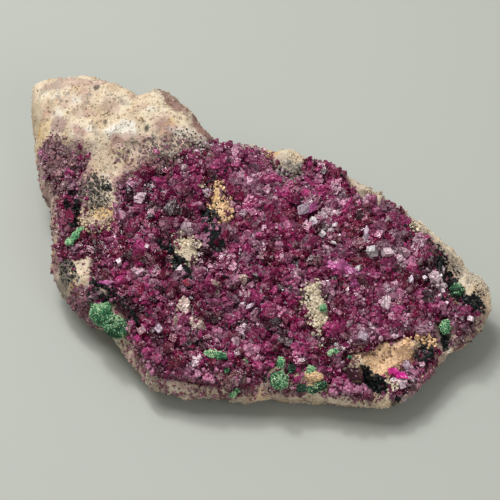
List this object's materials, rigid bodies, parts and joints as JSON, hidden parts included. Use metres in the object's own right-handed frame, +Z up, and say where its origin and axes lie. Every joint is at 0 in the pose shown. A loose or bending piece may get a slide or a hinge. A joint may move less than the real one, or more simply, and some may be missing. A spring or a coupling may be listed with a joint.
{
  "type": "cobaltoan calcite specimen with malachite",
  "caption": "Hand specimen: a broken piece of tan rock with a druse of magenta calcite crystals over its face and green malachite growths on it.",
  "frame": {"origin": "on the surface it rests on, under the middle of its box", "axes": "+X along the stone, to the right of someone who faces the crystals; +Z up; -Y towards that person, the low side of the sloping crystal face"},
  "size_m": [0.063, 0.0494, 0.0169],
  "materials": {
    "host_rock": "dry broken rock, tan to cream with ochre and brown stains and black oxide specks",
    "cobalt_calcite": "glassy, partly clear magenta to pink crystal faces",
    "malachite": "velvety green growths of fine needles"
  },
  "bodies": {
    "root": {"matrix": "host_rock", "calcite_crust": "cobalt_calcite", "malachite_big": "malachite", "malachite_pale": "malachite", "malachite_streak": "malachite", "malachite_cluster": "malachite", "malachite_knob": "malachite", "malachite_band": "malachite", "malachite_speck": "malachite", "malachite_bead": "malachite", "malachite_ball": "malachite", "malachite_oval": "malachite"}
  },
  "joints": []
}
